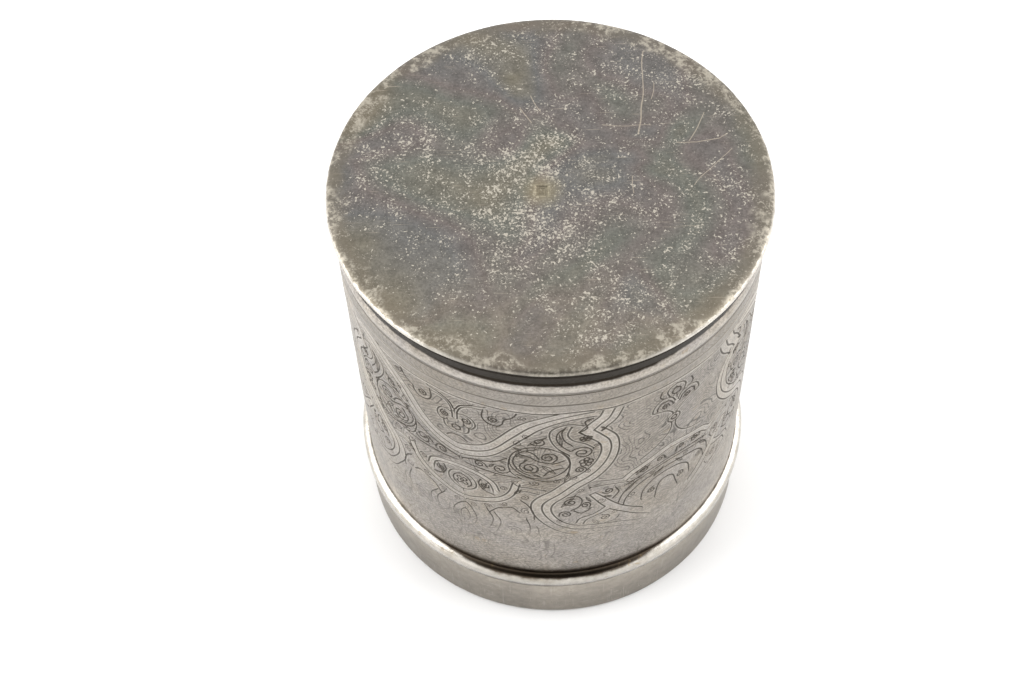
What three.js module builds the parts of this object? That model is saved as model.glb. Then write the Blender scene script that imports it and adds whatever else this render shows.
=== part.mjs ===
// Round silver pill box with a slip-on lid, standing upside down on the lid.
// Millimetres, +Z up. The origin is the centre of the lid's flat face, on the surface it stands on.
import * as THREE from "three";

// Driving dimensions
const totalHeight = 59.0;
const baseRadius = 25.0; // widest point of the base plate's rolled edge
const wallRadius = 24.5; // outside of the engraved wall
const sheet = 0.5; // thickness of the wall and the neck sleeve
const seam = 0.3; // space left between two soldered pieces, and between neck and lid

// Base plate: a thin plate whose edge is rolled down to a half-round of this radius
const rollRadius = 1.0;
const basePlateThickness = 0.8;
const rollWidth = 1.1; // how far the roll's flat underside reaches in from its centre

// Lid
const lidHeight = 10.8;
const lidBandRadius = 24.95;
const lidBandThickness = 0.6;
const lidLipRadius = 25.4;
const lidLipHeight = 2.8;
const lidLipRounding = 1.0; // quarter-round along the top of the lip
const lidLipTaper = 0.8; // height of the slope from the band out to the lip
const lidPlateThickness = 0.9;
const lidEdgeRounding = 0.5;

// Neck sleeve: how far it reaches into the lid, and up inside the wall
const neckEndHeight = 3.0; // its open end, above the surface
const neckOverlap = 9.0; // length soldered inside the wall

// Roundness of the turned pieces
const segments = 96; // facets around the axis
const arcSteps = 5; // facets along a rounded edge

const silver = { metalness: 0.9 };
const tarnishedSilver = 0x867d73;
const wallSilver = 0x9a9084;
const lidSilver = 0x938b7f;
const innerSilver = 0xa8a197;

// Points of an arc about (r, z) from one angle to another, in degrees: 0 points outwards, 90 up.
function arc(r, z, radius, from, to, steps = arcSteps) {
  const points = [];
  for (let step = 0; step <= steps; step++) {
    const angle = THREE.MathUtils.degToRad(from + ((to - from) * step) / steps);
    points.push([r + radius * Math.cos(angle), z + radius * Math.sin(angle)]);
  }
  return points;
}

// A solid of revolution about Z. The outline is a list of [radius, height] points that runs
// anticlockwise in the half plane: outwards along the bottom, up the outside, back over the top.
function turned(name, outline, closed, color, roughness) {
  const points = outline.map(([r, z]) => new THREE.Vector2(r, z));
  if (closed) {
    points.push(points[0].clone());
  }
  const geometry = new THREE.LatheGeometry(points, segments);
  geometry.rotateX(Math.PI / 2); // the lathe turns about Y, the box stands along Z
  const material = new THREE.MeshStandardMaterial({ ...silver, color, roughness });
  const mesh = new THREE.Mesh(geometry, material);
  mesh.name = name;
  return mesh;
}

// A plain tube with square ends
function tube(name, innerRadius, outerRadius, bottom, top, color, roughness) {
  const outline = [
    [innerRadius, bottom],
    [outerRadius, bottom],
    [outerRadius, top],
    [innerRadius, top],
  ];
  return turned(name, outline, true, color, roughness);
}

function makeBasePlate() {
  const rollCentre = baseRadius - rollRadius;
  const rollHeight = totalHeight - rollRadius;
  const rollUnderside = totalHeight - 2 * rollRadius;
  const plateUnderside = totalHeight - basePlateThickness;
  const outline = [
    [0, plateUnderside],
    [rollCentre - rollWidth, plateUnderside],
    [rollCentre - rollWidth, rollUnderside],
    ...arc(rollCentre, rollHeight, rollRadius, -90, 90, 2 * arcSteps),
    [0, totalHeight],
  ];
  return turned("base_plate", outline, false, tarnishedSilver, 0.5);
}

function makeBodyWall() {
  const bottom = lidHeight + seam;
  const top = totalHeight - 2 * rollRadius - seam;
  return tube("body_wall", wallRadius - sheet, wallRadius, bottom, top, wallSilver, 0.45);
}

function makeNeckSleeve() {
  const outerRadius = wallRadius - sheet - seam;
  const top = lidHeight + neckOverlap;
  return tube("neck_sleeve", outerRadius - sheet, outerRadius, neckEndHeight, top, innerSilver, 0.35);
}

function makeLidPlate() {
  const radius = lidBandRadius - lidBandThickness - seam;
  const outline = [
    [0, 0],
    [radius, 0],
    [radius, lidPlateThickness],
    [0, lidPlateThickness],
  ];
  return turned("lid_plate", outline, false, lidSilver, 0.45);
}

function makeLidBand() {
  const top = lidHeight - lidLipHeight - seam;
  const outline = [
    [lidBandRadius - lidBandThickness, 0],
    ...arc(lidBandRadius - lidEdgeRounding, lidEdgeRounding, lidEdgeRounding, -90, 0),
    [lidBandRadius, top],
    [lidBandRadius - lidBandThickness, top],
  ];
  return turned("lid_band", outline, true, lidSilver, 0.4);
}

function makeLidLip() {
  const innerRadius = wallRadius - sheet;
  const bottom = lidHeight - lidLipHeight;
  const roundingRadius = lidLipRadius - lidLipRounding;
  const outline = [
    [innerRadius, bottom],
    [lidBandRadius, bottom],
    [lidLipRadius, bottom + lidLipTaper],
    ...arc(roundingRadius, lidHeight - lidLipRounding, lidLipRounding, 0, 90),
    [innerRadius, lidHeight],
  ];
  return turned("lid_lip", outline, true, lidSilver, 0.3);
}

const lid = new THREE.Group();
lid.add(makeLidPlate(), makeLidBand(), makeLidLip());

const body = new THREE.Group();
body.add(makeBasePlate(), makeBodyWall(), makeNeckSleeve());

const group = new THREE.Group();
group.add(lid, body);

export default group;
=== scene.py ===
# Engraved silver pill box, standing upside down on its slip-on lid.
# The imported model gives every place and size; this script makes the finished surfaces around it.
# Lengths in the mesh code are in mm and are turned into metres when a mesh is made.
import math

import bpy
from mathutils import Matrix, Vector, noise
from mathutils.geometry import delaunay_2d_cdt
from mathutils.kdtree import KDTree


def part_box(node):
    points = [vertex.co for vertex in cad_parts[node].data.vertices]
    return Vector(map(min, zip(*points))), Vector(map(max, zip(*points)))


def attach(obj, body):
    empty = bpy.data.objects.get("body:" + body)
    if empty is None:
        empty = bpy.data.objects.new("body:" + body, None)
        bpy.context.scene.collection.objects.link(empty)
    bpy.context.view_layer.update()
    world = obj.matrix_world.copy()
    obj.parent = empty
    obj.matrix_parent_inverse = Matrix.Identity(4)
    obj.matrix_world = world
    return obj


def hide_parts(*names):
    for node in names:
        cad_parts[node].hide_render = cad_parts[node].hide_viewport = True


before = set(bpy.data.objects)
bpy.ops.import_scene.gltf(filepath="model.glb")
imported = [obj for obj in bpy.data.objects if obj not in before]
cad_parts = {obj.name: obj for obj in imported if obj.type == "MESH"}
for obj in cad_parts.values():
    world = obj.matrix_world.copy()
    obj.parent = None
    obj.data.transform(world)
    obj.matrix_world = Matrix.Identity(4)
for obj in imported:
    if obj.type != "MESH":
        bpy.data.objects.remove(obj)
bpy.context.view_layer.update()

MM = 0.001
TURN = 2 * math.pi


# ------------ sizes, in mm, from the frame

def in_mm(node):
    low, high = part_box(node)
    return low / MM, high / MM


base_low, base_high = in_mm("base_plate")
wall_high = in_mm("body_wall")[1]
neck_low, neck_high = in_mm("neck_sleeve")
plate_high = in_mm("lid_plate")[1]
band_high = in_mm("lid_band")[1]
lip_low, lip_high = in_mm("lid_lip")

TOP = base_high.z
BASE_R = base_high.x
WALL_R = wall_high.x
NECK_R = neck_high.x
BAND_R = band_high.x
LIP_R = lip_high.x
LIP_TOP = lip_high.z
SHEET = 0.5  # thickness of the wall and of the neck
BASE_SHEET = 0.8
BAND_SHEET = 0.6
HAIRLINE = 0.02  # what is left of a soldered seam
SHARP = math.radians(40)  # edges that turn by more than this stay crisp


# ------------ outlines

def smoothstep(low, high, value):
    t = min(1.0, max(0.0, (value - low) / (high - low)))
    return t * t * (3 - 2 * t)


def bump_between(low, high, value):
    """A round hump, 1 in the middle of low..high and 0 at its ends."""
    t = (value - low) / (high - low)
    return math.sin(math.pi * t) if 0 < t < 1 else 0.0


def arc(r, z, radius, start, end, steps):
    """Points of an arc about (r, z), in degrees: 0 points outwards, 90 up."""
    points = []
    for i in range(steps + 1):
        a = math.radians(start + (end - start) * i / steps)
        points.append((r + radius * math.cos(a), z + radius * math.sin(a)))
    return points


def run(start, end, steps):
    """Points from start to end, both included."""
    return [
        (start[0] + (end[0] - start[0]) * i / steps, start[1] + (end[1] - start[1]) * i / steps)
        for i in range(steps + 1)
    ]


# ------------ meshes

def make_piece(name, points, faces, marks):
    """A piece from points in mm. marks gives lists of named values, one for each point."""
    mesh = bpy.data.meshes.new(name)
    mesh.from_pydata([Vector(p) * MM for p in points], [], faces)
    for mark, values in marks.items():
        mesh.attributes.new(mark, "FLOAT", "POINT").data.foreach_set("value", values)
    mesh.validate()
    mesh.shade_smooth()
    mesh.set_sharp_from_angle(angle=SHARP)
    piece = bpy.data.objects.new(name, mesh)
    bpy.context.scene.collection.objects.link(piece)
    return piece


def turned(name, outline, segments, shape):
    """A solid of revolution about Z. The outline of (radius, height) points runs anticlockwise in
    the half plane: outwards along the bottom, up the outside, back over the top.
    shape(point) moves a point a little."""
    points = []
    rings = []
    for r, z in outline:
        count = 1 if r < HAIRLINE else segments
        rings.append(range(len(points), len(points) + count))
        for k in range(count):
            a = TURN * k / segments
            points.append(Vector((r * math.cos(a), r * math.sin(a), z)))
    faces = []
    for low, high in zip(rings, rings[1:] + rings[:1]):
        if len(low) == 1 and len(high) == 1:
            continue
        for k in range(segments):
            n = (k + 1) % segments
            corners = (low[k % len(low)], low[n % len(low)], high[n % len(high)], high[k % len(high)])
            faces.append(tuple(dict.fromkeys(corners)))
    return make_piece(name, [shape(p) for p in points], faces, {})


# ------------ engraving: lines

# The ornament is drawn flat on half of one repeat: u runs round the wall in mm, from the axis
# of the trefoil to the axis of the flower, and z is the height. Mirrored, the half makes one
# repeat, and three repeats go round.
REPEATS = 3
HALF = math.pi * WALL_R / REPEATS
STEP = 0.36  # length of one stretch of a groove
BORDER_LOW = 49.95  # lines under and over the plain strip below the border of strokes
BORDER_HIGH = 51.6
BAND_LINE = 53.6  # the line along the foot of the bead


class Graver:
    """One cutting tool: how wide and deep it cuts, whether it throws up a burr, and its lines."""

    def __init__(self, width, depth, burr):
        self.width = width
        self.depth = depth
        self.burr = burr
        self.lines = []

    def cut(self, *lines):
        """Cuts each line. One that is given as plain points is made smooth first."""
        for line in lines:
            if isinstance(line[0], tuple):
                line = curve(line)
            if len(line) > 1:
                self.lines.append(line)


broad = Graver(0.34, 0.10, True)
medium = Graver(0.26, 0.08, False)
fine = Graver(0.17, 0.05, False)
light = Graver(0.14, 0.022, False)
ribbons = []  # (middle line, half width) of the plain polished bands


def curve(points):
    """A smooth line through the points. One that starts or ends on an axis crosses it squarely."""
    points = [Vector(p) for p in points]
    first, last = points[0], points[-1]
    before = 2 * first - points[1]
    after = 2 * last - points[-2]
    if first.x == 0:
        before = Vector((-points[1].x, points[1].y))
    if last.x == HALF:
        after = Vector((2 * HALF - points[-2].x, points[-2].y))
    padded = [before] + points + [after]
    line = []
    for a, b, c, d in zip(padded, padded[1:], padded[2:], padded[3:]):
        count = max(1, round((c - b).length / STEP))
        for k in range(count):
            t = k / count
            bend = (2 * a - 5 * b + 4 * c - d) * t * t + (3 * b - a - 3 * c + d) * t * t * t
            line.append((2 * b + (c - a) * t + bend) / 2)
    line.append(last)
    return line


def beside(line, distance):
    """The line that runs beside another, to its left, with its corners kept."""
    out = []
    for i, point in enumerate(line):
        back = line[max(0, i - 1)]
        ahead = line[min(len(line) - 1, i + 1)]
        one = (point - back) if i else (ahead - point)
        two = (ahead - point) if i < len(line) - 1 else one
        left = Vector((-one.y, one.x)).normalized() + Vector((-two.y, two.x)).normalized()
        size = max(left.length, 0.8)
        out.append(point + left * (2 * distance / size / size))
    return out


def level(height, steps=80):
    """A line round the half repeat at one height."""
    return [Vector((u, height)) for u, _ in run((0, 0), (HALF, 0), steps)]


def circle(u, z, r, start=0, end=360):
    """An arc about (u, z), in degrees from the direction of u."""
    count = max(5, round(math.radians(abs(end - start)) * r / STEP * 1.4))
    return [Vector(point) for point in arc(u, z, r, start, end, count)]


def scroll(u, z, r, start, turns=1.6, hand=1):
    """A spiral that winds inwards from radius r."""
    count = round(10 * turns * max(1, r))
    line = []
    for k in range(count + 1):
        t = k / count
        a = math.radians(start) + hand * TURN * turns * t
        line.append(Vector((u, z)) + r * (1 - 0.8 * t) * Vector((math.cos(a), math.sin(a))))
    return line


def rosette(u, z, r, petals=5):
    """A small flower: a ring of round petals about a dot."""
    lines = [circle(u, z, r * 0.28)]
    for k in range(petals):
        a = 360 * k / petals + 90
        centre = Vector((u, z)) + r * 0.62 * Vector((math.cos(math.radians(a)), math.sin(math.radians(a))))
        lines.append(circle(centre.x, centre.y, r * 0.42, a - 125, a + 125))
    return lines


def leaf(start, end, bulge):
    """Two curved edges and a midrib."""
    start, end = Vector(start), Vector(end)
    along = end - start
    side = Vector((-along.y, along.x)).normalized() * bulge
    return [
        curve([start, start + along * 0.4 + side, end]),
        curve([start, start + along * 0.4 - side * 0.8, end]),
        curve([start + along * 0.15, start + along * 0.75]),
    ]


def from_axis(*points):
    """Points that are measured back from the axis of the flower."""
    return [(HALF - back, z) for back, z in points]


def ribbon(line, left, right):
    """Three lines that bound two bands under the border: the line itself and one on each side."""
    for side in (left, 0, right):
        broad.cut([p for p in beside(line, side) if p.y < BORDER_LOW])
    for side in (left, right):
        ribbons.append((beside(line, side / 2), abs(side) / 2))


# Small scrolls and sprigs in what is left of the ground
for u, z, r, start, hand in (
    (7.9, 48.6, 0.55, 200, 1), (7.2, 43, 0.6, 90, 1), (8.1, 44.6, 0.45, 300, -1),
    (13.4, 35.2, 0.6, 120, -1), (11.6, 34.6, 0.55, 20, 1), (16, 42, 0.4, 0, 1),
    (15.1, 36.6, 0.45, 60, -1), (9.1, 34.2, 0.6, 180, 1), (6.6, 33.9, 0.45, 0, -1),
    (11.9, 24.8, 0.5, 30, 1), (14.2, 32, 0.5, 200, 1), (16.9, 28.9, 0.55, 0, -1),
    (18.7, 25.3, 0.5, 220, 1), (20.6, 31.1, 0.45, 30, 1), (21.6, 31.6, 0.35, 190, -1),
    (20.9, 28.2, 0.6, 100, 1), (23.3, 31.2, 0.4, 0, -1), (12.6, 22.9, 0.45, 0, 1),
    (16.1, 23.4, 0.5, 150, -1), (5.3, 31.9, 0.5, 0, 1), (7.9, 30.3, 0.6, 80, -1),
    (2.9, 26.6, 0.6, 10, 1), (5.2, 28.2, 0.5, 200, 1), (8, 27, 0.7, 60, 1), (1, 25.6, 0.5, 120, -1),
):
    fine.cut(scroll(u, z, r, start, 1.4, hand))
for start, end, bulge in (
    ((6.6, 42), (7.6, 41.4), 0.2), ((13, 36.6), (12.4, 34.4), 0.25),
    ((17.1, 29.8), (18.2, 29.4), 0.2), ((2.6, 30.4), (3.4, 32.4), 0.25),
    ((21.1, 32.6), (22.9, 34), 0.3), ((19.9, 29.4), (21.2, 31), 0.25),
    ((6.6, 30.8), (7.6, 32.2), 0.25), ((23.6, 29.9), (24.9, 31.3), 0.25),
    ((14.9, 30.2), (15.6, 28.9), 0.2), ((3.4, 36.6), (4.1, 37.6), 0.2),
    ((12.3, 42.9), (12, 45.4), 0.22), ((8.9, 36.4), (9.9, 35.9), 0.2),
):
    fine.cut(*leaf(start, end, bulge))
medium.cut(
    [(6.9, 35.9), (8, 35.6), (9.6, 35), (11.2, 34.9), (12.4, 35.3)],
    [(1.2, 40.6), (0.6, 41.2), (0, 41.3)],
    [(7.5, 29.4), (8.4, 28.4), (8.9, 26.9), (8.8, 25.2)],
    [(3.2, 25.2), (4.4, 26.9), (6.2, 27.6), (7.2, 26.6)],
)

# Borders
broad.cut(level(BORDER_LOW), level(BORDER_HIGH))
medium.cut(level(BAND_LINE))
count = 36  # pairs of slanting strokes in the border
pitch = HALF / count
for i in range(count):
    u = pitch * (i + 0.1)
    light.cut([(u, 51.9), (u + 0.8 * pitch, 52.6)], [(u + 0.6 * pitch, 52.8), (u + 0.3 * pitch, 53.4)])

# Swag
swag = curve([
    (0, 38.35), (1.8, 39), (3.4, 40.2), (4.7, 41.6), (6, 43.2), (7.3, 44.9), (9, 46.8),
    (11.1, 48.4), (13, 49.15), (15.6, 49.6),
])
ribbon(swag, 1.1, -0.95)

# Ogee curve between the motifs
upper = curve([(17.9, 49.6), (17.3, 47.9), (16.3, 46.7), (15.6, 45.6)])
lower = curve([
    (15.6, 45.6), (16.4, 44.5), (17.3, 43.1), (17.7, 41.6), (17.7, 40), (17.3, 38.3), (16.5, 36.8),
    (15.2, 35.2), (13.4, 33.5), (11.8, 31.9), (10.6, 30.4), (10, 28.7), (10, 27), (10.6, 25.3),
    (11.8, 23.7), (13.5, 22.5), (16.3, 21.7), (19.5, 21), (22.5, 19.3),
])
ribbon(upper + lower[1:], 1, -1.2)

# Trefoil
broad.cut(
    [(0, 47.1), (0.6, 48.2), (1.8, 49), (3.3, 49.3)],
    [(3.1, 48.7), (1.8, 48.6), (0.8, 47.8), (0.35, 46.5), (0.3, 45.2)],
    [(0.35, 46.3), (1.2, 46.55), (2.1, 46), (2.35, 44.9), (1.8, 44), (1.1, 44.2)],
    [(1.5, 43.8), (1.3, 42.8), (0.7, 42.3), (0, 42.15)],
)
medium.cut(
    scroll(1.3, 45.35, 0.65, 60, 1.5, -1),
    [(0, 43.8), (0.45, 43.5), (0.4, 42.9), (0, 42.75)],
    [(3.3, 48.9), (3.25, 47.3), (3.8, 46.2), (4.9, 45.9), (5.6, 46.6), (5.7, 47.4), (6.6, 48.2),
     (7.1, 49.2)],
    scroll(4.5, 47.1, 0.65, 100, 1.5),
)

# Paisley leaf
broad.cut(
    [(12.9, 40.5), (11.6, 42.4), (10.8, 44.3), (10.9, 45.8), (11.7, 46.8), (13, 47.3), (14.3, 46.9)],
    [(13.2, 46.3), (13, 45.1), (13.6, 43.9), (14.8, 42.8), (15.6, 41.6)],
)
medium.cut(
    [(13.1, 41.4), (12.1, 43), (11.6, 44.5), (11.9, 45.7), (12.6, 46.5)],
    [(12.6, 46.5), (12.3, 45.6), (12.6, 44.1), (13.4, 42.8)],
    scroll(14.4, 40.8, 1.3, 150, 1.7, -1),
    [(15.4, 48.2), (14.6, 47.6), (14.9, 46.2), (14.1, 45.4)],
    *rosette(14.9, 38.7, 0.85), *rosette(14.9, 44, 0.6), scroll(14.3, 37.1, 0.75, 0),
    scroll(9.4, 43.6, 0.95, 200, 1.3),
)
fine.cut(*leaf((8.2, 42.6), (10.4, 44.8), 0.3))

# Round medallion
u, z, r = 9.5, 38.9, 3.45
medium.cut(circle(u, z, r, 60, 395))
broad.cut([(11.2, 41.9), (12.2, 41), (12.9, 39.2), (13, 37.4), (12.8, 35.9)])
medium.cut(
    circle(u, z, r - 0.5, 100, 250), scroll(u - 0.9, z - 1.1, 1.35, 120, 1.8),
    scroll(u + 1.1, z + 1.3, 1.1, 300, 1.5),
    [(7.3, 40.6), (8.5, 40.2), (9.7, 39.3), (11.2, 38.9), (12.3, 39.4)],
    [(8.2, 41.4), (9, 40.9), (9.5, 40.1)],
    [(10.2, 36.3), (10.8, 37.3), (11.9, 37.8)],
)
fine.cut(*leaf((9.9, 38.5), (11.5, 36.6), 0.35), *leaf((7, 39.9), (7.3, 41.4), 0.25))
medium.cut(
    scroll(4.9, 36.7, 1.25, 40, 1.5, -1), scroll(2.3, 36.6, 0.75, 0, 1.4),
    [(0.3, 36.6), (2.2, 37.4), (4.2, 38.2), (5.8, 39.4)],
    [(1, 35.7), (3.2, 35.5), (5.4, 35.1), (7.5, 35)],
)
broad.cut([(6.1, 39.3), (5.9, 37.6), (6.3, 36), (7.6, 34.9)])

# Flower
broad.cut(
    from_axis((0.2, 45.7), (0.7, 46.8), (1.8, 47.2), (2.9, 46.5), (3.3, 45.1), (2.5, 44.75), (1.4, 44.3),
              (0.5, 43.5), (0.2, 42.9)),
    circle(HALF, 42.05, 0.9, 90, 270),
    from_axis((0.3, 41.15), (0.3, 40), (0.8, 38.7), (2.2, 37.3), (4.4, 36)),
    from_axis((1, 47.3), (1.2, 48.2), (0.8, 48.9), (0, 49.2)),
)
medium.cut(
    from_axis((0.5, 45.3), (0.9, 46.2), (1.75, 46.5), (2.55, 45.9), (2.7, 45)),
    scroll(HALF - 1.6, 45.4, 0.55, 0, 1.4), circle(HALF, 42.05, 0.4, 90, 270),
    from_axis((1.9, 48.9), (2.2, 47.9), (1.9, 47.4)),
    from_axis((0, 48.5), (0.5, 48.1), (0.5, 47.5), (0, 47.2)),
)

# Arches under the flower
arch = curve([(19.4, 33.1), (20.6, 34.3), (22.3, 35.2), (24.1, 35.85), (HALF, 36.1)])
broad.cut(arch, beside(arch, -1))
ribbons.append((beside(arch, -0.5), 0.5))
broad.cut(
    [(17, 33.7), (18.2, 33.5), (19.4, 33.1)],
    [(15.6, 32.5), (17.3, 32.6), (18.6, 32.3), (19.9, 31.8)],
)
medium.cut(
    [(19.9, 31), (21.3, 31.7), (23.2, 32.4), (HALF, 32.8)],
    [(19.2, 27.5), (19.6, 29.2), (20.6, 30.5), (22.2, 31.3), (24, 31.9), (HALF, 32.1)],
    [(19.9, 26.4), (20.2, 28), (21.1, 29.3), (22.5, 30.2), (24, 30.7), (HALF, 30.9)],
    [(22.2, 26), (22.4, 27.8), (23.3, 29), (24.4, 29.6), (HALF, 29.8)],
    [(24, 24.6), (24.4, 27), (24.9, 28), (HALF, 28.3)],
    scroll(22, 33.2, 0.8, 180, 1.4, -1), scroll(24.2, 33.9, 0.6, 0, 1.3),
    scroll(23.6, 26.9, 0.6, 90, 1.4),
)

# Crossed ribbons
broad.cut(
    [(16.1, 31), (19.1, 27.3), (22.4, 23.6)],
    curve([(16.1, 31), (15.4, 30.6)]) + curve([(15.4, 30.6), (16.5, 28.7), (17.5, 27.3)])[1:],
    [(18.1, 26.5), (21.2, 23.1), (23.4, 20.9)],
    [(17.5, 27.3), (16.1, 26.1), (14.3, 25.3), (13.8, 24.1)],
    [(18.1, 26.5), (16.8, 25.7), (15.1, 24.7), (14.6, 23.6)],
)
ribbons.append((curve([(15.8, 30.8), (18.6, 27), (21.8, 23.3)]), 0.5))
ribbons.append((curve([(17.6, 27), (16.4, 25.9), (14.7, 25), (14.2, 24)]), 0.45))
medium.cut(
    scroll(13, 29.3, 0.9, 60, 1.5), scroll(12.6, 26.5, 0.8, 200, 1.5, -1),
    scroll(14.9, 28.4, 0.7, 330, 1.4), scroll(17.4, 24.3, 0.75, 100, 1.5, -1),
    scroll(17.7, 30.9, 0.7, 200, 1.4),
    [(12.4, 30.6), (13.7, 30.7), (14.4, 29.6), (14.1, 28.2), (13.2, 27.4)],
    [(15.3, 27.2), (14.4, 26.6), (13.6, 27.2)],
    [(19.3, 24), (18.8, 22.9), (17.4, 22.7)],
    [(18.6, 31.2), (19, 30), (18.4, 29)],
)
fine.cut(*leaf((12, 28.2), (13.6, 31.2), 0.3), *leaf((15.7, 24.4), (16.6, 22.7), 0.3))

# Low medallion
arch = curve([(0, 34.8), (1.2, 34.7), (2.4, 34.35), (3.5, 33.7), (4.4, 32.6), (4.7, 31.2)])
broad.cut(arch, beside(arch, -0.75))
ribbons.append((beside(arch, -0.38), 0.38))
broad.cut([(0, 33.3), (1.2, 32.8), (1.9, 31.6), (1.8, 30.3), (1, 29.3), (0, 28.8)])
medium.cut(
    [(0, 32.6), (0.8, 32.1), (1.25, 31.3), (1.2, 30.4), (0.7, 29.8)],
    circle(0, 31, 0.25, -90, 90), circle(0.42, 31.45, 0.32, -70, 150),
    circle(0.42, 30.5, 0.32, -150, 70), scroll(3, 31.6, 0.6, 30, 1.4, -1),
    [(2.6, 33), (2.3, 31.8), (2.8, 30.4), (3.9, 29.9)],
)
low = curve([(6.5, 33.6), (6.1, 31.7), (5.2, 30.3), (3.8, 29.1), (2.2, 28.2), (0.9, 27.5), (0, 27.3)])
broad.cut(low, beside(low, 0.9))
ribbons.append((beside(low, 0.45), 0.45))
broad.cut(
    [(6.5, 33.6), (7.3, 32.9), (8.4, 32.9), (9.8, 32.6)],
    [(7.4, 31.6), (8.2, 31.9), (9.4, 31.5)],
)

# What is left near the lid, where the wall was held and polished most
medium.cut(
    [(0, 25.4), (1.2, 23.8), (1.6, 22), (1.1, 20.3), (0, 19.2)],
    [(0, 23.8), (0.6, 22.6), (0.5, 21.2), (0, 20.4)],
    [(2.8, 25.8), (3.7, 23.6), (3.4, 21.2), (2.3, 19.3), (0.7, 17.8)],
    [(3.8, 25.4), (4.7, 23.2), (4.3, 20.8), (3.1, 18.7), (1.3, 17)],
    scroll(6.5, 21.4, 1, 150, 1.5, -1),
    [(7.9, 25), (8.3, 22.6), (7.9, 20), (6.4, 17.9), (4, 16.6)],
    [(9.2, 22.8), (9.6, 20), (11.2, 17.6), (13.8, 16), (17, 15.4)],
    scroll(11.6, 20.3, 1.2, 40, 1.6, -1), scroll(16.8, 18, 1.1, 200, 1.5),
    [(19.2, 17.4), (21.2, 18.4), (23.4, 18.6), (HALF, 18.3)],
    [(17, 15.4), (20, 15), (23, 15.6), (HALF, 15.7)],
    scroll(22.6, 16.9, 0.8, 90, 1.4, -1),
)
broad.cut(level(13, 60))


# ------------ engraving: the wall's mesh

GUARD = 0.1  # strip of metal pushed up beside a groove
BURR = 0.02  # its height
COLUMNS = 32  # of the plain ground in half a repeat
ROWS_BELOW_BEAD = 43
ROWS_ABOVE = 28
CLEAR = 0.3  # the plain ground keeps this far away from the grooves
BEAD_LOW = 54.0
BEAD_HIGH = 55.3
BEAD_HEIGHT = 0.13
CREVICE = 55.8  # above this the wall dives under the rolled edge
WELD = 1e-4  # points this close to an axis lie on it


def inside(point):
    """Keeps a point on the half repeat, and puts one near an axis on it."""
    u = point.x
    if u < HAIRLINE:
        u = 0.0
    if u > HALF - HAIRLINE:
        u = HALF
    return Vector((u, point.y))


def nearest_on(line, i, point):
    """Distance from a point to the two stretches of a line that meet at its point i."""
    best = (point - line[i]).length
    for j in (i - 1, i):
        if 0 <= j < len(line) - 1:
            along = line[j + 1] - line[j]
            size = along.length_squared
            t = min(1.0, max(0.0, (point - line[j]).dot(along) / size)) if size else 0.0
            best = min(best, (point - line[j] - along * t).length)
    return best


class Near:
    """Finds which lines pass close to a point, and how close."""

    def __init__(self, lines):
        self.lines = lines
        self.refs = [(n, i) for n, line in enumerate(lines) for i in range(len(line))]
        self.tree = KDTree(len(self.refs))
        for k, (n, i) in enumerate(self.refs):
            self.tree.insert(lines[n][i].to_3d(), k)
        self.tree.balance()

    def distances(self, point, reach):
        found = {}
        for _, k, _ in self.tree.find_range(point.to_3d(), reach + STEP):
            n, i = self.refs[k]
            gap = nearest_on(self.lines[n], i, point)
            if gap < reach:
                found[n] = min(gap, found.get(n, reach))
        return found


def wear(z):
    """How much of the engraving is left at a height."""
    return 0.1 + 0.9 * smoothstep(18, 30, z)


def half_repeat():
    """Points, faces and marks of the engraved sheet on half a repeat, laid flat."""
    bottom = LIP_TOP + HAIRLINE
    top = base_low.z - HAIRLINE
    cuts = [(line, graver) for graver in (broad, medium, fine, light) for line in graver.lines]
    middles = [[inside(p) for p in line] for line, _ in cuts]
    near = Near(middles)
    coords = []
    edges = []
    for line, (_, graver) in zip(middles, cuts):
        half = graver.width / 2
        sides = (0, half, -half, half + GUARD, -half - GUARD) if graver.burr else (0, half, -half)
        for side in sides:
            track = [inside(p) for p in beside(line, side)]
            track = track[:1] + [p for p, q in zip(track[1:], track) if (p - q).length > HAIRLINE / 2]
            edges += [(i, i + 1) for i in range(len(coords), len(coords) + len(track) - 1)]
            coords += track
    rows = run((bottom, 0), (BEAD_LOW, 0), ROWS_BELOW_BEAD)
    rows += run((BEAD_LOW, 0), (top, 0), ROWS_ABOVE)[1:]
    for z, _ in rows:
        for i in range(COLUMNS + 1):
            point = Vector((HALF * i / COLUMNS, z))
            on_rim = z in (bottom, top)
            if on_rim or not near.distances(point, CLEAR):
                coords.append(point)
    flat, _, faces, _, _, _ = delaunay_2d_cdt(coords, edges, [], 0, 1e-5)
    bands = Near([[inside(p) for p in line] for line, _ in ribbons])
    marks = {"cut": [], "burr": [], "band": []}
    for point in flat:
        depth = 0.0
        burr = 0.0
        for n, gap in near.distances(point, CLEAR).items():
            graver = cuts[n][1]
            half = graver.width / 2
            if gap < half:
                depth = max(depth, graver.depth * (1 - gap / half))
            if graver.burr:
                burr = max(burr, 1 - abs(gap - half) / GUARD)
        keep = wear(point.y)
        marks["cut"].append(depth * keep / broad.depth)
        marks["burr"].append((burr if depth < 0.1 * broad.depth else 0.0) * keep)
        on_band = any(gap < ribbons[n][1] for n, gap in bands.distances(point, 0.7).items())
        marks["band"].append((1.0 if on_band else 0.0) * keep)
    return flat, faces, marks


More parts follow.
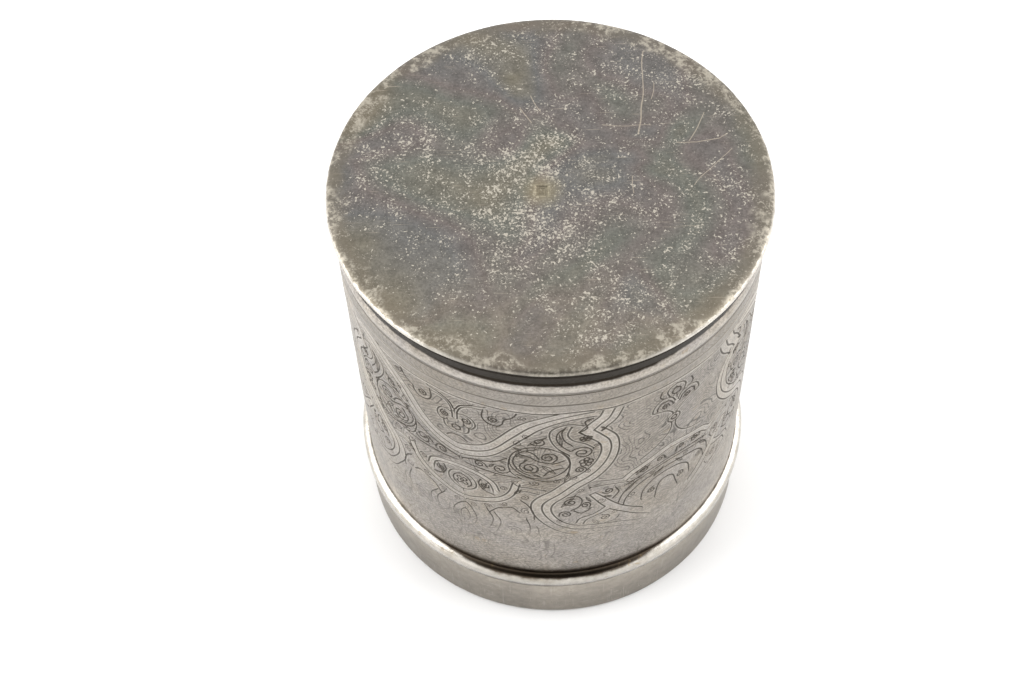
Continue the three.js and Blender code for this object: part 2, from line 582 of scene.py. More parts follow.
def wall_point(angle, z, depth):
    """A point of the outer surface: the bead, the dive under the roll, slight dents and a cut."""
    bead = BEAD_HEIGHT * bump_between(BEAD_LOW, BEAD_HIGH, z)
    dive = 0.12 * smoothstep(CREVICE - 0.25, CREVICE, z)
    on_wall = Vector((math.sin(angle), -math.cos(angle), z / WALL_R))
    dent = 0.035 * noise.noise(on_wall * 2.2) + 0.012 * noise.noise(on_wall * 9)
    r = WALL_R - 0.04 + bead - dive + dent - depth
    return Vector((r * math.sin(angle), -r * math.cos(angle), z))


def hand_shake(angle, z):
    """How far the engraver's hand strayed: a slow, small wander along the surface."""
    place = Vector((math.sin(angle), -math.cos(angle), z / WALL_R)) * 5
    free = smoothstep(12, 15, z) * (1 - smoothstep(50, 53, z))
    wander = Vector((noise.noise(place), noise.noise(place + Vector((7, 0, 0)))))
    return wander * 0.45 * free


def make_wall():
    """The half repeat bent round the wall: mirrored, repeated, and closed into a tube."""
    flat, flat_faces, flat_marks = half_repeat()
    bottom = min(p.y for p in flat)
    top = max(p.y for p in flat)
    first_axis = -11.0 / WALL_R  # turns the first trefoil 11 mm to the left of the front
    points = []
    faces = []
    marks = {key: [] for key in flat_marks}
    seen = {}
    for repeat in range(REPEATS):
        for side in (1, -1):
            index = []
            for n, (u, z) in enumerate(flat):
                angle = first_axis + TURN * repeat / REPEATS + side * u / WALL_R
                key = (repeat, side, n)
                if u < WELD or u > HALF - WELD:  # the halves share the points on their axes
                    key = ("axis", round(math.sin(angle), 5), round(math.cos(angle), 5), round(z, 4))
                if key not in seen:
                    seen[key] = len(points)
                    shake = hand_shake(angle, z)
                    depth = flat_marks["cut"][n] * broad.depth - flat_marks["burr"][n] * BURR
                    points.append(wall_point(angle + shake.x / WALL_R, z + shake.y, depth))
                    for mark in marks:
                        marks[mark].append(flat_marks[mark][n])
                index.append(seen[key])
            for face in flat_faces:
                corners = [index[i] for i in face]
                faces.append(corners if side == 1 else corners[::-1])
    close_wall(points, faces, marks, bottom, top)
    return make_piece("engraved_wall", points, faces, marks)


def close_wall(points, faces, marks, bottom, top):
    """The inside of the wall and its two ends, joined to the rims of the outer surface."""
    inner_r = WALL_R - SHEET
    rims = []
    for z in (bottom, top):
        rim = [i for i, p in enumerate(points) if abs(p.z - z) < 1e-5]
        rim.sort(key=lambda i: math.atan2(points[i].y, points[i].x))
        rims.append(rim)
    rings = [rims[1]]
    for z, _ in run((top, 0), (bottom, 0), 12):
        ring = []
        for i in rims[0]:
            a = math.atan2(points[i].y, points[i].x)
            ring.append(len(points))
            points.append(Vector((inner_r * math.cos(a), inner_r * math.sin(a), z)))
            for mark in marks:
                marks[mark].append(0.0)
        rings.append(ring)
    rings.append(rims[0])
    for low, high in zip(rings, rings[1:]):
        for k in range(len(low)):
            n = (k + 1) % len(low)
            faces.append([low[k], low[n], high[n], high[k]])


# ------------ the other pieces

PUNCH = Vector((-0.9, -1.1))  # middle of the small square punched into the base
PUNCH_SIZE = 1.4
PUNCH_DEPTH = 0.12
EDGE_WIDTH = 1.0  # the disc's edge is rounded over as a quarter of an oval
EDGE_DROP = 0.65
TURNED_LINES = (20.6, 21.8)  # radii of the rings turned into the lid's flat face


def base_shape(point):
    """The base plate's slightly beaten surface, its punched square and its worn rim."""
    x, y, z = point
    r = math.hypot(x, y)
    on_top = smoothstep(TOP - 0.3, TOP, z)
    wave = noise.noise(Vector((x, y, 0)) * 0.11) + 0.4 * noise.noise(Vector((x, y, 9)) * 0.35)
    sag = 0.04 * (1 + wave)
    across = max(abs(x - PUNCH.x), abs(y - PUNCH.y)) * 2
    edge = 1 - smoothstep(PUNCH_SIZE - 0.25, PUNCH_SIZE, across) - 0.6 * (1 - smoothstep(0.5, 0.8, across))
    lifted = bump_between(PUNCH_SIZE, PUNCH_SIZE + 0.7, across) * 0.02
    rim_wear = 0.05 * (0.5 + noise.noise(Vector((x, y, 3)) * 0.22)) * smoothstep(BASE_R - 1.2, BASE_R, r)
    z -= on_top * (sag + edge * PUNCH_DEPTH - lifted)
    grow = 1 - max(0.0, rim_wear) / BASE_R
    return Vector((x * grow, y * grow, z))


def make_base_plate():
    """The tarnished disc: its edge is rounded over, with a hollow under it that its material paints dark
    as shade.
    """
    reach = BASE_R - 2.1
    outline = run((0, TOP - BASE_SHEET), (reach, TOP - BASE_SHEET), 8)
    outline += [(reach, base_low.z)]
    outline += run((WALL_R - 0.15, base_low.z), (WALL_R + 0.05, base_low.z + 0.2), 2)
    outline += run((WALL_R + 0.05, base_low.z + 0.3), (WALL_R + 0.1, TOP - 1.1), 4)
    outline += [(BASE_R - 0.3, TOP - 0.95), (BASE_R - 0.1, TOP - 0.85)]
    for angle in range(0, 91, 6):
        a = math.radians(angle)
        outline.append((BASE_R - EDGE_WIDTH * (1 - math.cos(a)), TOP - EDGE_DROP * (1 - math.sin(a))))
    outline += run((BASE_R - EDGE_WIDTH, TOP), (4.0, TOP), 34)[1:]
    outline += run((4.0, TOP), (0, TOP), 44)[1:]
    return turned("base_disc", outline, 288, base_shape)


def make_neck():
    """The sleeve that the lid slides on: its end is rounded over and a little out of true."""
    inner = NECK_R - SHEET
    soft = SHEET / 2
    outline = arc(NECK_R - soft, neck_low.z + soft, soft, 180, 360, 10)
    outline += run((NECK_R, neck_low.z + soft), (NECK_R, neck_high.z), 16)[1:]
    outline += run((inner, neck_high.z), (inner, neck_low.z + soft), 16)[:-1]

    def shape(p):
        dent = 1 - 0.03 * (0.5 + noise.noise(Vector((p.x, p.y, p.z)) * 0.1)) / NECK_R
        return Vector((p.x * dent, p.y * dent, p.z))

    return turned("neck", outline, 256, shape)


def make_lid_plate():
    """The lid's flat face, which the box stands on, with two turned lines on each side of it."""
    radius = BAND_R - BAND_SHEET - HAIRLINE
    face = [(0.0, 0.0)]
    for r in TURNED_LINES:
        face += [(r - 0.15, 0.0), (r, 0.07), (r + 0.15, 0.0)]
    top = plate_high.z
    edge = [(radius - 0.12, 0.0), (radius, 0.12), (radius, top - 0.05), (radius - 0.05, top)]
    back = [(r, top - z) for r, z in reversed(face)]
    outline = run((0, 0), face[1], 16)[:-1] + face[1:] + edge + back[:-1]
    outline += run(back[-2], (0, top), 16)[1:]

    def shape(p):
        wave = noise.noise(Vector((p.x, p.y, 5)) * 0.12) + 0.4 * noise.noise(Vector((p.x, p.y, 2)) * 0.4)
        lift = 0.03 * (1 + wave) * (1 - smoothstep(radius - 3, radius - 1, math.hypot(p.x, p.y)))
        return Vector((p.x, p.y, p.z + (lift if p.z < 0.1 else -lift)))

    return turned("lid_face", outline, 256, shape)


def make_lid_band():
    """The lid's plain side, rounded along its lower edge."""
    inner = BAND_R - BAND_SHEET
    top = lip_low.z - HAIRLINE
    rounding = 0.5
    outline = [(inner, 0)]
    outline += arc(BAND_R - rounding, rounding, rounding, -90, 0, 8)
    outline += run((BAND_R, rounding), (BAND_R, top), 14)[1:]
    outline += run((inner, top), (inner, 0), 10)[:-1]

    def shape(p):
        r = math.hypot(p.x, p.y)
        on_side = Vector((p.x / r, p.y / r, p.z / BAND_R))
        dent = 0.04 * (0.5 + noise.noise(on_side * 2.5)) + 0.012 * (1 + noise.noise(on_side * 10))
        return Vector((p.x * (1 - dent / r), p.y * (1 - dent / r), p.z))

    return turned("lid_side", outline, 288, shape)


def make_lid_lip():
    """The half-round wire soldered round the lid's mouth."""
    inner = WALL_R - SHEET
    rounding = 1.0
    outline = [(inner, lip_low.z), (BAND_R - 0.02, lip_low.z)]
    outline += run((BAND_R + 0.02, lip_low.z + 0.05), (LIP_R, lip_low.z + 0.8), 5)
    outline += arc(LIP_R - rounding, LIP_TOP - rounding, rounding, 0, 90, 16)
    outline += run((inner + 0.15, LIP_TOP), (inner, LIP_TOP - 0.15), 3)
    outline += run((inner, LIP_TOP - 0.4), (inner, lip_low.z + 0.3), 6)

    def shape(p):
        r = math.hypot(p.x, p.y)
        around = Vector((p.x / r, p.y / r, p.z / LIP_R))
        worn = 0.05 * max(0.0, noise.noise(around * 4) + 0.2) * smoothstep(24.6, LIP_R, r)
        return Vector((p.x * (1 - worn / r), p.y * (1 - worn / r), p.z))

    return turned("lid_edge", outline, 288, shape)


# ------------ materials

class Finish:
    """A metal built from nodes. Places and sizes in it are in mm on the piece itself, and its
    colour is laid on in layers."""

    def __init__(self, name):
        self.material = bpy.data.materials.new(name)
        self.material.use_nodes = True
        tree = self.material.node_tree
        self.nodes, self.links = tree.nodes, tree.links
        self.shader = self.nodes["Principled BSDF"]
        self.shader.inputs["Metallic"].default_value = 1.0
        coords = self.nodes.new("ShaderNodeTexCoord").outputs["Object"]
        self.place = self.vector("SCALE", coords, Scale=1 / MM)
        self.x, self.y, self.z = self.node("SeparateXYZ", {"Vector": self.place}).outputs
        self.radius = self.math("SQRT", self.plus((self.x, self.x), (self.y, self.y)))

    def feed(self, socket, value):
        if isinstance(value, bpy.types.NodeSocket):
            self.links.new(value, socket)
        elif socket.type == "RGBA":
            socket.default_value = (*value, 1.0)
        else:
            socket.default_value = value

    def node(self, kind, feeds, **settings):
        made = self.nodes.new("ShaderNode" + kind)
        for key, value in settings.items():
            setattr(made, key, value)
        for socket, value in feeds.items():
            self.feed(made.inputs[socket], value)
        return made

    def math(self, operation, a, b=0.0):
        return self.node("Math", {0: a, 1: b}, operation=operation).outputs[0]

    def chain(self, operation, values):
        result = values[0]
        for value in values[1:]:
            result = self.math(operation, result, value)
        return result

    def times(self, *values):
        return self.chain("MULTIPLY", values)

    def most(self, *values):
        return self.chain("MAXIMUM", values)

    def plus(self, *parts):
        """The sum of the parts. A part given as a tuple is the product of its values."""
        return self.chain("ADD", [self.times(*p) if isinstance(p, tuple) else p for p in parts])

    def gap(self, a, b):
        return self.math("ABSOLUTE", self.math("SUBTRACT", a, b))

    def vector(self, operation, a, b=None, **feeds):
        both = {0: a, **feeds}
        if b is not None:
            both[1] = b
        made = self.node("VectorMath", both, operation=operation)
        return made.outputs["Value" if operation in ("DOT_PRODUCT", "DISTANCE") else "Vector"]

    def step(self, value, low, high, at_low=0.0, at_high=1.0):
        """A smooth step from at_low to at_high while the value goes from low to high."""
        feeds = {"Value": value, "From Min": low, "From Max": high, "To Min": at_low, "To Max": at_high}
        return self.node("MapRange", feeds, interpolation_type="SMOOTHSTEP").outputs["Result"]

    def fall(self, value, low, high, at_low=1.0):
        return self.step(value, low, high, at_low, 0.0)

    def strip(self, value, a, b, c, d):
        """1 where the value lies between b and c, 0 below a and above d."""
        return self.times(self.step(value, a, b), self.fall(value, c, d))

    def noise(self, size, detail=4.0, rough=0.6, twist=0.0, place=None):
        """Noise from 0 to 1 whose largest blotches are about `size` mm across."""
        feeds = {"Vector": place or self.place, "Scale": 1 / size, "Detail": detail,
                 "Roughness": rough, "Distortion": twist}
        return self.node("TexNoise", feeds).outputs["Fac"]

    def soft(self, size):
        """Noise with less fine detail."""
        return self.noise(size, 2, 0.55)

    def stray(self, size, reach, detail=4.0, rough=0.6):
        """Noise about 0, for edges that stray by up to half of reach each way."""
        return self.times(self.math("SUBTRACT", self.noise(size, detail, rough), 0.5), reach)

    def tint(self, value, *stops):
        """The colour to begin with, which runs from stop to stop while the value rises."""
        made = self.node("ValToRGB", {"Fac": value})
        elements = made.color_ramp.elements
        while len(elements) < len(stops):
            elements.new(1.0)
        for element, (position, color) in zip(elements, stops):
            element.position = position
            element.color = (*color, 1.0)
        self.color = made.outputs["Color"]

    def paint(self, color, *strength):
        """Lays a colour over what is there, as strong as the product of the strengths."""
        layers = {0: self.times(*strength), 6: self.color, 7: color}
        self.color = self.node("Mix", layers, data_type="RGBA").outputs[2]

    def shade(self, *factors):
        self.color = self.vector("SCALE", self.color, Scale=self.times(*factors))

    def mottle(self, size, darkest=0.84, lightest=1.14):
        return self.step(self.noise(size, 5, 0.65), 0.25, 0.75, darkest, lightest)

    def mark(self, name):
        return self.node("Attribute", {}, attribute_name=name).outputs["Fac"]

    def mapped(self, place, degrees, stretch=(1, 1, 1)):
        """A place stretched and turned about Z, for marks that run one way."""
        feeds = {"Vector": place, "Rotation": (0, 0, math.radians(degrees)), "Scale": stretch}
        return self.node("Mapping", feeds, vector_type="POINT").outputs["Vector"]

    def round_place(self, across, up):
        """A place on the wall: the way round and the height in mm, divided by across and up."""
        way_round = self.times(self.math("ARCTAN2", self.x, self.times(self.y, -1.0)), WALL_R / across)
        made = self.node("CombineXYZ", {"X": way_round, "Y": self.times(self.z, 1 / up), "Z": 0.0})
        return made.outputs["Vector"]

    def lit_sides(self):
        """1 at the two sides, which face the softboxes, and 0 at the front and the back. It makes painted
        highlights stronger and painted shade narrower at the sides.
        """
        return self.step(self.math("ABSOLUTE", self.x), 7, 16)

    def hairlines(self, place, seed, cover):
        """Thin broken lines along a stretched place; a higher cover leaves fewer of them."""
        moved = self.vector("ADD", place, (seed, seed * 0.7, 0.0))
        return self.step(self.noise(1.0, 2, 0.5, 0.3, moved), cover, cover + 0.05)

    def crossed_hairlines(self, stretch, cover, *turns):
        """Hairlines that cross on a flat face: one set for each (seed, degrees)."""
        return self.most(*[
            self.hairlines(self.mapped(self.place, degrees, stretch), seed, cover)
            for seed, degrees in turns
        ])

    def scratch(self, start, end, width, place):
        """One straight scratch across a flat face."""
        start, end = Vector((*start, 0)), Vector((*end, 0))
        along = end - start
        away = self.vector("SUBTRACT", place, start)
        share = self.vector("DOT_PRODUCT", away, along / along.length_squared)
        share = self.math("MINIMUM", self.math("MAXIMUM", share, 0.0), 1.0)
        foot = self.vector("SCALE", along, Scale=share)
        return self.fall(self.vector("DISTANCE", away, foot), 0, width)

    def finish(self, roughness, height, depth):
        """height runs from 0 to 1 and stands for depth mm of relief."""
        self.feed(self.shader.inputs["Base Color"], self.color)
        self.feed(self.shader.inputs["Roughness"], roughness)
        bump = self.node("Bump", {"Height": height, "Strength": 1.0, "Distance": depth * MM})
        self.links.new(bump.outputs["Normal"], self.shader.inputs["Normal"])
        return self.material


# The second colour, near black, is real dirt in the lid's turned lines and corner, painted shade under the
# rolled edge, and the darker strip on the neck and the lid's side. The third, dark brown, is painted shade
# where the wall meets the lid's lip.
CLEAN = (0.62, 0.585, 0.53)
DIRT_AND_SHADE = (0.013, 0.009, 0.005)
FOOT_SHADE = (0.055, 0.038, 0.023)
WARM_SPOT = (0.3, 0.22, 0.12)


def disc_finish():
    """The underside of the box: brown and grey tarnish, pale specks, scratches and a worn rim, painted
    brighter at the sides as a highlight, with painted shade under it.
    """
    f = Finish("tarnished_base")
    f.tint(
        f.noise(15, 1.5, 0.45, 0.8),
        (0.28, (0.16, 0.143, 0.11)), (0.42, (0.133, 0.134, 0.117)), (0.52, (0.146, 0.127, 0.118)),
        (0.62, (0.133, 0.13, 0.125)), (0.76, (0.168, 0.15, 0.112)),
    )
    front = f.times(f.fall(f.y, -20, -8), f.step(f.noise(6, 4, 0.7), 0.3, 0.65, 0.3))
    f.paint((0.205, 0.18, 0.14), front, 0.6)
    f.shade(f.mottle(1.6, 0.84, 1.16), f.step(f.noise(0.28, 3, 0.7), 0.3, 0.7, 0.82, 1.18))

    # pale specks, closer together round the punch
    flat_place = f.vector("MULTIPLY", f.place, (1, 1, 0))
    from_punch = f.vector("DISTANCE", flat_place, (PUNCH.x, PUNCH.y, 0))
    crowd = f.plus(
        f.fall(from_punch, 1, 15, 0.1), f.step(f.noise(9, 3), 0.35, 0.68, -0.04, 0.05),
        f.stray(1.8, 0.4, 3),
    )
    specks = f.most(
        f.times(f.step(f.plus(f.noise(0.2, 2, 0.5), crowd), 0.62, 0.71), 0.45),
        f.step(f.plus(f.noise(0.29, 1, 0.4), crowd), 0.685, 0.72),
        f.step(f.plus(f.noise(0.5, 2, 0.5), crowd), 0.745, 0.775),
    )
    f.paint((0.48, 0.445, 0.38), specks, 0.85)

    # the punch, with a warm halo and worn edges
    f.paint((0.26, 0.22, 0.135), f.fall(from_punch, 0.6, 3.2, 0.55))
    square = f.times(f.most(f.gap(f.x, PUNCH.x), f.gap(f.y, PUNCH.y)), 2)
    outline = f.strip(square, 1.1, 1.5, 1.6, 2.1)
    f.paint((0.38, 0.34, 0.25), outline, 0.45, f.step(f.soft(0.5), 0.35, 0.6))
    f.paint((0.08, 0.07, 0.045), f.fall(square, 0.9, 1.25, 0.2))

    near_edge = f.step(f.plus(f.radius, f.stray(4, 3)), 21.8, 23.9)
    f.paint((0.165, 0.14, 0.105), near_edge, 0.5)
    rim_reach = f.plus(f.step(f.noise(7, 3, 0.55), 0.35, 0.65, -1.2, 1.6), f.fall(f.y, -24, -16, -0.6))
    worn = f.times(
        f.step(f.noise(1.6, 5, 0.75), 0.44, 0.56),
        f.step(f.math("SUBTRACT", f.radius, rim_reach), 23, 24.1),
        f.step(f.noise(0.5, 3, 0.55), 0.3, 0.6),
    )
    f.paint((0.42, 0.385, 0.32), worn, 0.8)

    sway = f.node("TexNoise", {"Vector": f.place, "Scale": 0.2, "Detail": 1.0}).outputs["Color"]
    swayed = f.vector("ADD", flat_place, f.vector("MULTIPLY", sway, (1.2, 1.2, 0)))
    mean_sway = Vector((0.6, 0.6))
    scratches = [
        f.scratch(Vector(start) + mean_sway, Vector(end) + mean_sway, width, swayed)
        for start, end, width in (
            ((10.9, 19.2), (10.6, 11.8), 0.1), ((10.6, 11.8), (10, 6.7), 0.13),
            ((14.4, 5.7), (16.4, 5.5), 0.09), ((16.4, 5.5), (18.9, 6.1), 0.1),
            ((18.9, 6.1), (19.8, 6.9), 0.08), ((15.6, 5.8), (17.6, 9.9), 0.08),
            ((6.2, 8.3), (11.4, 7.9), 0.06), ((9.3, 0.9), (9.2, -1.5), 0.07),
            ((-1.9, 12.8), (-0.8, 10.2), 0.08), ((-3, 10.8), (-2, 8.5), 0.09),
            ((16, -0.6), (20.5, 4.8), 0.06), ((12, 14.5), (11.6, 12), 0.07),
        )
    ]
    hair = f.crossed_hairlines((0.22, 5, 1), 0.7, (3, 20), (11, 75), (19, 130), (31, 165))
    marks = f.most(f.times(hair, 0.5), *scratches)
    f.paint((0.5, 0.43, 0.34), marks, 0.6)

    # the rim, worn and polished, painted brighter at the sides as a highlight, and painted shade in the
    # hollow under it
    ragged = f.stray(0.9, 0.5, 4, 0.65)
    lit_sides = f.lit_sides()
    # worn polished silver on the roll, painted much brighter at the sides as a highlight from the
    # softboxes
    rim = f.times(
        f.fall(f.plus(f.z, ragged), TOP - 0.45, TOP - 0.15), f.step(f.radius, WALL_R + 0.1, WALL_R + 0.3),
        f.plus(0.2, (lit_sides, 0.8)), f.step(f.noise(2.5), 0.3, 0.5, 0.55),
    )
    f.paint(CLEAN, rim)
    # painted shade in the hollow under the rolled edge, reaching higher at the front as a painted dark
    # reflection
    hollow = f.times(
        f.fall(f.plus(f.z, (ragged, 0.6), (lit_sides, 0.5)), TOP - 1.05, TOP - 0.4),
        f.step(f.radius, WALL_R - 0.3, WALL_R - 0.2),
    )
    f.paint(DIRT_AND_SHADE, hollow, 0.97)

    roughness = f.plus(0.4, (f.noise(2), 0.16), (specks, 0.12), (rim, -0.26), (hollow, 0.2))
    height = f.plus((f.noise(0.5), 0.45), (f.soft(3), 0.6), (specks, -0.3), (marks, -0.4))
    return f.finish(roughness, height, 0.02)


def wall_finish():
    """The engraved wall: grey in the ground, black in the cuts, bright on the burrs and the bead. The
    burrs' brightness is partly a painted highlight, the sides are painted lighter, and painted shade
    darkens both ends.
    """
    f = Finish("engraved_wall")
    f.tint(
        f.noise(14, twist=0.6),
        (0.3, (0.3, 0.265, 0.22)), (0.45, (0.335, 0.305, 0.27)), (0.55, (0.31, 0.285, 0.262)),
        (0.7, (0.36, 0.325, 0.275)),
    )
    # lighter towards the left and right: painted light from the side softboxes
    painted_side_light = f.step(f.math("ABSOLUTE", f.x), 12, 22, 1, 1.2)
    f.shade(f.mottle(1.2), f.step(f.noise(0.3, 3, 0.7), 0.3, 0.7, 0.74, 1.26), painted_side_light)
    band = f.mark("band")
    plain = f.most(band, f.fall(f.z, 28, 35, 0.55))
    ground = f.times(f.math("SUBTRACT", 1, plain), f.fall(f.z, BORDER_LOW - 0.6, BORDER_LOW))
    f.paint((0.15, 0.132, 0.108), ground, 0.2)
    f.paint((0.46, 0.425, 0.37), band, 0.08)
    f.paint(WARM_SPOT, f.step(f.noise(1.3, 3), 0.6, 0.68), f.step(f.soft(8), 0.5, 0.65), 0.5)
    pits = f.step(f.noise(0.45, 3), 0.64, 0.7)
    f.paint((0.15, 0.13, 0.11), pits, 0.35)
    rubbed = f.most(
        f.hairlines(f.round_place(6, 0.25), 2, 0.66), f.hairlines(f.round_place(0.25, 5), 9, 0.7)
    )
    f.paint((0.5, 0.46, 0.4), rubbed, 0.3)

    # hatching and fine curls in the ground, then the cuts and their burrs
    slanted = f.mapped(f.round_place(1, 1), 62)
    waves = {"Vector": slanted, "Scale": 0.62, "Distortion": 3, "Detail": 2, "Detail Scale": 1.5}
    strokes = f.node("TexWave", waves, bands_direction="X").outputs["Fac"]
    hatch = f.times(strokes, ground, f.step(f.soft(5), 0.35, 0.6, 0.25))
    f.paint((0.1, 0.088, 0.07), hatch, 0.45)
    contour = f.math("PINGPONG", f.times(f.noise(2.8, 0, 0.5), 10), 0.5)
    curls = f.times(f.fall(contour, 0.04, 0.16), ground, f.step(f.soft(4), 0.4, 0.55, 0.2))
    f.paint((0.06, 0.052, 0.042), curls, 0.8)
    cut = f.step(f.mark("cut"), 0, 0.4)
    f.paint((0.05, 0.042, 0.033), cut, 0.9)
    # the burrs: rubbed silver, painted brighter still as a highlight along the broad cuts
    f.paint(CLEAN, f.mark("burr"), 0.42)

    # the bead and the border below it, then painted shade at both ends of the wall
    bead = f.times(
        f.strip(f.z, BEAD_LOW, BEAD_LOW + 0.4, BEAD_HIGH - 0.4, BEAD_HIGH),
        f.step(f.noise(2), 0.32, 0.5, 0.5),
    )
    f.paint(CLEAN, bead, 0.2)
    f.paint((0.19, 0.172, 0.148), f.strip(f.z, BORDER_LOW, BORDER_LOW + 0.6, BAND_LINE, BEAD_LOW), 0.5)
    f.paint((0.09, 0.078, 0.06), f.strip(f.z, BAND_LINE, BAND_LINE + 0.2, BEAD_LOW, BEAD_LOW + 0.25), 0.6)
    uneven_z = f.plus(f.z, f.stray(1.5, 0.5))
    outside = f.step(f.radius, WALL_R - SHEET + 0.05, WALL_R - SHEET + 0.2)
    # painted shade in the crevice under the rolled edge, reaching further down at the front as a painted
    # dark reflection
    under_roll = f.step(f.plus(uneven_z, (f.lit_sides(), -0.45)), BEAD_HIGH - 0.1, BEAD_HIGH + 0.3)
    f.paint(DIRT_AND_SHADE, under_roll, outside, 0.96)
    # painted shade in the crevice where the wall meets the lid's lip
    f.paint(FOOT_SHADE, f.fall(uneven_z, LIP_TOP + 0.1, LIP_TOP + 1.3), outside, 0.92)

    roughness = f.plus(0.33, (f.noise(3), 0.16), (bead, -0.08), (cut, 0.2))
    height = f.plus(
        (f.noise(0.6), 0.35), (hatch, 0.55), (f.soft(4), 0.6), (pits, -0.3), (rubbed, -0.25),
        (curls, -0.8),
    )
    return f.finish(roughness, height, 0.025)


def plain_finish(name, shade, polish_above, dark_band, up_scratches):
    """The plain silver of the neck and the lid's side. polish_above is a height, the band argument holds
    the two heights of a darker strip, and up_scratches is how strong the scratches are that run up and
    down."""
    f = Finish(name)
    dark, light = [tuple(c * k for c in shade) for k in (0.88, 1.14)]
    f.tint(f.noise(10, twist=0.6), (0.32, dark), (0.5, shade), (0.68, light))
    # darker towards the bottom, from 7.5 mm down to 2.5 mm: painted shade low down
    f.shade(f.mottle(1), f.step(f.z, 2.5, 7.5, 0.78, 1.03))
    rubbed = f.most(
        f.hairlines(f.round_place(5, 0.2), 4, 0.66),
        f.times(f.hairlines(f.round_place(0.2, 5), 13, 0.64), up_scratches),
    )
    f.paint(CLEAN, rubbed, 0.35)
    pits = f.step(f.noise(0.5, 3), 0.62, 0.68)
    f.paint((0.13, 0.11, 0.09), pits, 0.4)
    polish = f.times(
        f.step(f.z, polish_above - 0.3, polish_above + 0.3), f.step(f.noise(2.5), 0.3, 0.5, 0.55)
    )
    f.paint(CLEAN, polish, 0.75)
    low, high = dark_band
    # a darker strip between the two given heights
    dark_strip = f.strip(f.plus(f.z, f.stray(1.4, 0.4)), low - 0.25, low, high, high + 0.25)
    f.paint(DIRT_AND_SHADE, dark_strip, 0.75)
    roughness = f.plus(0.3, (f.noise(2.5), 0.16), (polish, -0.14))
    height = f.plus((f.noise(0.6), 0.4), (f.soft(3.5), 0.6), (pits, -0.3), (rubbed, -0.3))
    return f.finish(roughness, height, 0.02)


def lip_finish():
    """The lid's bright lip, with painted shade on its shoulder where the wall meets it, and painted darker
    at the front and back than at the sides.
    """
    f = Finish("lid_edge")
    f.tint(f.noise(5), (0.35, (0.46, 0.42, 0.36)), (0.55, CLEAN), (0.7, (0.56, 0.52, 0.46)))
    lit_sides = f.lit_sides()
    # darker at the front and back than at the sides: painted shade, set against painted light on the sides
    f.shade(f.mottle(0.8, 0.85, 1.1), f.plus(0.8, (lit_sides, 0.2)))
    # painted shade on the shoulder next to the wall, reaching further out at the front as a painted dark
    # reflection
    out_here = f.plus(f.radius, f.stray(1.2, 0.35), (lit_sides, 0.7))
    f.paint(FOOT_SHADE, f.fall(out_here, WALL_R + 0.6, WALL_R + 0.9), 0.94)
    f.paint(WARM_SPOT, f.step(f.noise(0.9, 3), 0.58, 0.66), f.step(f.soft(6), 0.45, 0.6), 0.5)
    rubbed = f.hairlines(f.round_place(6, 0.2), 6, 0.62)
    f.paint((0.3, 0.27, 0.23), rubbed, 0.25)
    return f.finish(f.plus(0.16, (f.noise(2), 0.16)), f.plus(f.noise(0.8), (rubbed, -0.3)), 0.015)


def face_finish():
    """The lid's flat face: scuffed where it stands, with turned rings inside."""
    f = Finish("lid_face")
    f.tint(
        f.noise(13, twist=0.6),
        (0.32, (0.26, 0.235, 0.2)), (0.5, (0.33, 0.3, 0.26)), (0.68, (0.37, 0.34, 0.29)),
    )
    f.shade(f.mottle(1.2))
    by_radius = f.node("CombineXYZ", {"X": f.times(f.radius, 4)}).outputs["Vector"]
    rings = f.noise(1, 3, place=by_radius)
    f.paint((0.5, 0.46, 0.4), f.step(rings, 0.5, 0.7, 0, 0.25))
    hair = f.crossed_hairlines((0.15, 5, 1), 0.64, (5, 10), (13, 55), (23, 100), (37, 150))
    f.paint(CLEAN, hair, 0.45)
    f.paint(DIRT_AND_SHADE, f.most(*[f.fall(f.gap(f.radius, r), 0, 0.2) for r in TURNED_LINES]), 0.8)
    corner = f.step(f.plus(f.radius, (f.noise(2, 3, 0.55), 0.8)), 23.9, 24.5)
    f.paint(DIRT_AND_SHADE, corner, 0.7)
    roughness = f.plus(0.32, (f.noise(2.5), 0.18))
    return f.finish(roughness, f.plus((f.noise(0.6), 0.4), (rings, 0.4), (hair, -0.35)), 0.02)


# ------------ assembly

def add_piece(piece, body, node, material):
    piece.data.materials.append(material)
    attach(piece, body)
    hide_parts(node)


add_piece(make_base_plate(), "box", "base_plate", disc_finish())
add_piece(make_wall(), "box", "body_wall", wall_finish())
neck_silver = plain_finish("neck", (0.46, 0.43, 0.38), neck_low.z - 5, (19.0, 22.0), 1.0)
add_piece(make_neck(), "box", "neck_sleeve", neck_silver)
add_piece(make_lid_plate(), "lid", "lid_plate", face_finish())
band_silver = plain_finish("lid_side", (0.315, 0.283, 0.24), TOP, (7.75, 8.5), 0.5)
add_piece(make_lid_band(), "lid", "lid_band", band_silver)
add_piece(make_lid_lip(), "lid", "lid_lip", lip_finish())


# ------------ floor, light and camera

def make_floor():
    bpy.ops.mesh.primitive_plane_add(size=3)
    floor = bpy.context.object
    floor.name = "floor"
    material = bpy.data.materials.new("floor")
    material.use_nodes = True
    shader = material.node_tree.nodes["Principled BSDF"]
    shader.inputs["Base Color"].default_value = (0.9, 0.9, 0.9, 1)
    shader.inputs["Roughness"].default_value = 0.9
    shader.inputs["Specular IOR Level"].default_value = 0.2
    floor.data.materials.append(material)


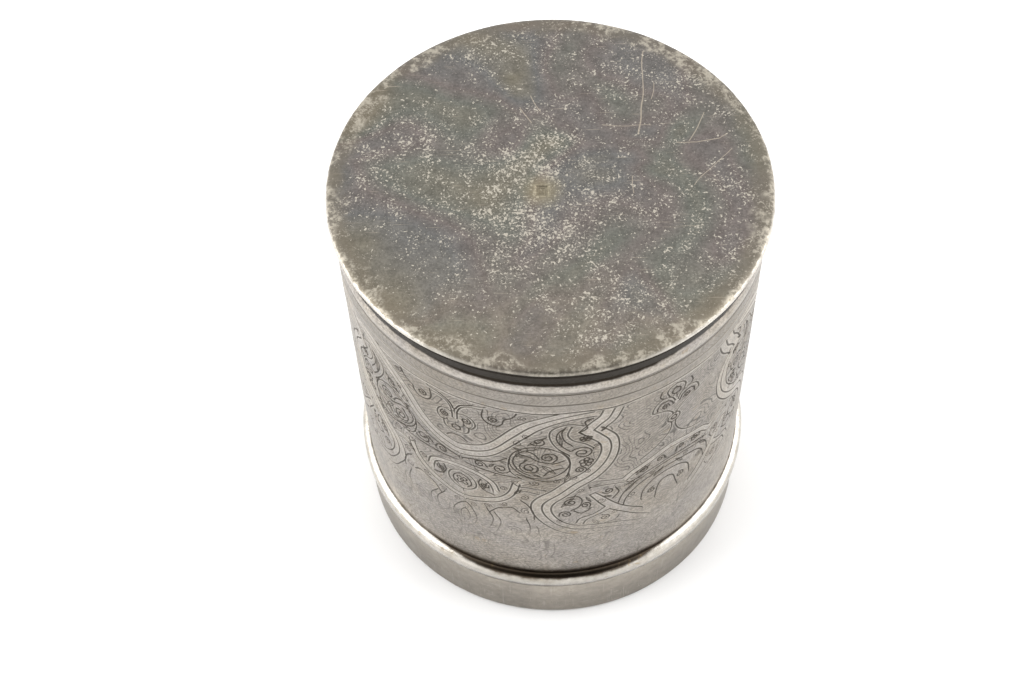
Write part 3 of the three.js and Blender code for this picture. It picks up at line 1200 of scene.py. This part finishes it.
def make_camera():
    """The camera stands in front and looks down at the box; its place is given in base radii."""
    camera = bpy.data.cameras.new("camera")
    camera.lens = 60.76
    camera.clip_start = 0.01
    thing = bpy.data.objects.new("camera", camera)
    bpy.context.scene.collection.objects.link(thing)
    radius = BASE_R * MM
    thing.location = (0, -4.779 * radius, TOP * MM + 6.033 * radius)
    down, aside, lean = math.radians(56.841), math.radians(-2.368), math.radians(-2.491)
    forward = Vector((math.sin(aside) * math.cos(down), math.cos(aside) * math.cos(down), -math.sin(down)))
    across = forward.cross(Vector((0, 0, 1))).normalized()
    upright = across.cross(forward)
    right = math.cos(lean) * across + math.sin(lean) * upright
    up = -math.sin(lean) * across + math.cos(lean) * upright
    thing.rotation_euler = Matrix((right, up, -forward)).transposed().to_euler()
    bpy.context.scene.camera = thing


def make_world():
    """A white room with one dark patch, where the photographer stands."""
    world = bpy.data.worlds.new("studio")
    bpy.context.scene.world = world
    world.use_nodes = True
    nodes, links = world.node_tree.nodes, world.node_tree.links
    background = nodes["Background"]
    coords = nodes.new("ShaderNodeTexCoord")
    direction = nodes.new("ShaderNodeVectorMath")
    direction.operation = "DOT_PRODUCT"
    height = math.radians(50)
    direction.inputs[1].default_value = (0, -math.cos(height), math.sin(height))
    links.new(coords.outputs["Generated"], direction.inputs[0])
    ramp = nodes.new("ShaderNodeValToRGB")
    room, patch = ramp.color_ramp.elements
    room.position = 0.74
    room.color = (1, 1, 1, 1)
    patch.position = 0.92
    patch.color = (0.05, 0.045, 0.04, 1)
    links.new(direction.outputs["Value"], ramp.inputs["Fac"])
    links.new(ramp.outputs["Color"], background.inputs["Color"])
    background.inputs["Strength"].default_value = 1.45


def make_light(name, spot, power):
    """A round softbox that faces the box. Its place is in metres."""
    light = bpy.data.lights.new(name, "AREA")
    light.shape = "DISK"
    light.size = 0.9
    light.energy = power
    thing = bpy.data.objects.new(name, light)
    thing.location = spot
    thing.rotation_euler = (Vector((0, 0, 0.03)) - Vector(spot)).to_track_quat("-Z", "Y").to_euler()
    bpy.context.scene.collection.objects.link(thing)


make_floor()
make_camera()
make_world()
make_light("left softbox", (-0.75, -0.05, 0.5), 6.0)
make_light("right softbox", (0.75, 0.05, 0.55), 5.3)
bpy.context.scene.view_settings.view_transform = "Standard"
